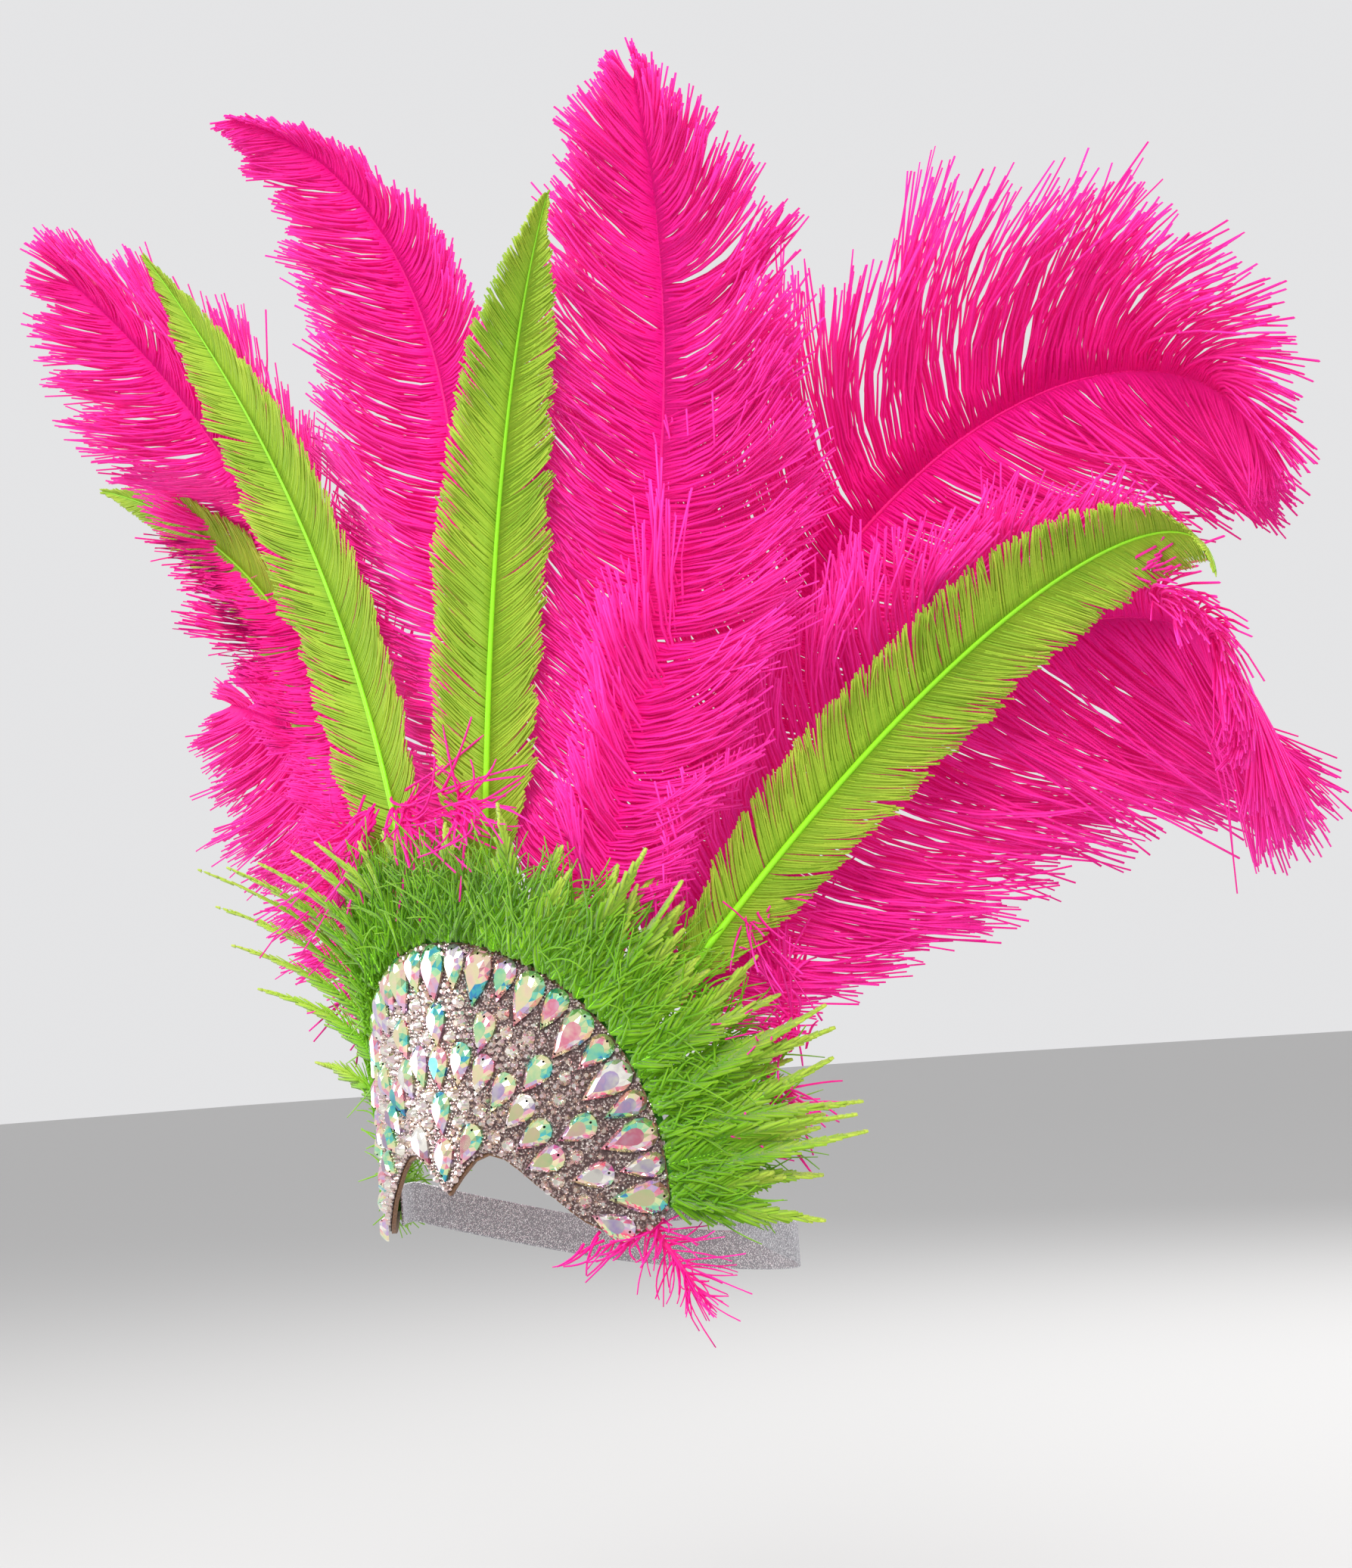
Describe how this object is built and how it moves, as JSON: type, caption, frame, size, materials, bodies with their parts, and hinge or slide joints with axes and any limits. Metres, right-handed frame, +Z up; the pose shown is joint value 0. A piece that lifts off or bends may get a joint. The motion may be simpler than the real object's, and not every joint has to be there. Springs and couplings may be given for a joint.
{
  "type": "carnival feather headdress",
  "caption": "Carnival headdress: a fan-shaped crown plate covered in faceted stones on an elastic band, a collar of green hackles, and a tall fan of pink plumes and green quills behind it.",
  "frame": {"origin": "Middle of the wearer's head at the height where the crown plate's lower edge meets the brow, which is the head seat.", "axes": "+Z up, the wearer looks along -Y, and +X is the wearer's left."},
  "size_m": [0.8387, 0.4393, 0.5991],
  "materials": {
    "leatherette": "brown leatherette, matt",
    "crystal": "clear faceted stone with an iridescent coating and a foiled back",
    "stone_bed": "packed small clear and champagne stones on a mauve-brown ground",
    "elastic": "flat elastic with silver glitter yarn",
    "green_hackle": "fluffy dyed hackle feathers",
    "green_quill": "combed blade feathers, dyed lime green",
    "pink_plume": "soft plumes, dyed fluorescent pink"
  },
  "bodies": {
    "root": {"crown_plate": "leatherette", "stone_bed": "stone_bed", "elastic_band": "elastic", "hackle_collar": "green_hackle", "rim_drop_01": "crystal", "rim_drop_02": "crystal", "rim_drop_03": "crystal", "rim_drop_04": "crystal", "rim_drop_05": "crystal", "rim_drop_06": "crystal", "rim_drop_07": "crystal", "rim_drop_08": "crystal", "rim_drop_09": "crystal", "rim_drop_10": "crystal", "rim_drop_11": "crystal", "rim_drop_12": "crystal", "rim_drop_13": "crystal", "rim_drop_14": "crystal", "rim_drop_15": "crystal", "rim_drop_16": "crystal", "rim_drop_17": "crystal", "rim_drop_18": "crystal", "rim_drop_19": "crystal", "rim_drop_20": "crystal", "rim_drop_21": "crystal", "rim_drop_22": "crystal", "rim_drop_23": "crystal", "rim_drop_24": "crystal", "rim_drop_25": "crystal", "rim_drop_26": "crystal", "rim_drop_27": "crystal", "plume_centre": "pink_plume", "plume_left_1": "pink_plume", "plume_left_2": "pink_plume", "plume_left_3": "pink_plume", "plume_right_1": "pink_plume", "plume_right_2": "pink_plume", "plume_right_3": "pink_plume", "temple_tuft": "pink_plume", "quill_left_1": "green_quill", "quill_left_2": "green_quill", "quill_right_1": "green_quill", "quill_right_2": "green_quill"}
  },
  "joints": []
}
